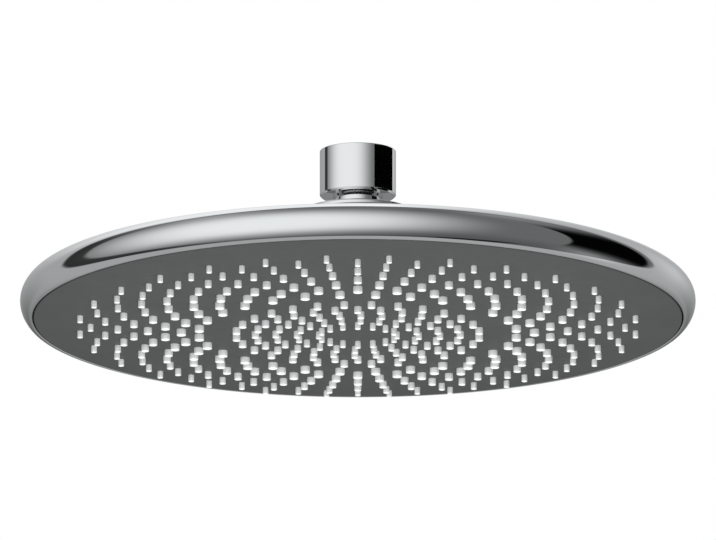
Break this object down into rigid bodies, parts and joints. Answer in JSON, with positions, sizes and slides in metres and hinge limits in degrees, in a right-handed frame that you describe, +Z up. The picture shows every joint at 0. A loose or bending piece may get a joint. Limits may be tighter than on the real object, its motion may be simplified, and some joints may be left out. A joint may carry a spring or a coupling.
{
  "type": "rain shower head",
  "caption": "Round overhead rain shower head: chrome dome with rolled rim, grey convex spray face with soft nozzles, ball-joint inlet with a threaded union nut.",
  "frame": {"origin": "on the axis of the inlet thread, at the mouth of the thread in the union nut", "axes": "+Z up along the inlet thread, the way the pipe leaves; the spray face looks down, -Z; the camera side of the picture is -Y"},
  "size_m": [0.25, 0.25, 0.0715],
  "materials": {
    "chrome_brass": "polished chrome on brass",
    "chrome_shell": "polished chrome plating",
    "face_grey": "satin grey moulded plastic",
    "nozzle_silicone": "soft satin silicone",
    "chamber_plastic": "moulded black plastic",
    "black_rubber": "matte seal rubber",
    "ring_plastic": "natural slide plastic",
    "regulator_plastic": "moulded green plastic",
    "bare_brass": "turned brass",
    "steel": "stainless steel"
  },
  "bodies": {
    "inlet": {"union_nut": "chrome_brass", "inlet_washer": "black_rubber", "inlet_strainer": "steel"},
    "ball_seat": {"ball_seal_ring": "black_rubber", "ball_slide_ring": "ring_plastic"},
    "head": {"ball_stem": "chrome_brass", "flow_regulator": "regulator_plastic", "regulator_o_ring": "black_rubber", "stem_gasket": "black_rubber", "stem_o_ring": "black_rubber", "housing_shell": "chrome_shell", "chamber_cover": "chamber_plastic", "hub_insert": "bare_brass", "nozzle_mat": "nozzle_silicone", "face_plate": "face_grey", "chamber_screws": "steel"}
  },
  "joints": [
    {"name": "swivel", "type": "hinge", "parent": "inlet", "child": "ball_seat", "pos_m": [0, 0, -0.0121], "axis": [0, 0, 1], "continuous": true},
    {"name": "tilt", "type": "hinge", "parent": "ball_seat", "child": "head", "pos_m": [0, 0, -0.0121], "axis": [1, 0, 0], "range_deg": [-6, 6]}
  ]
}
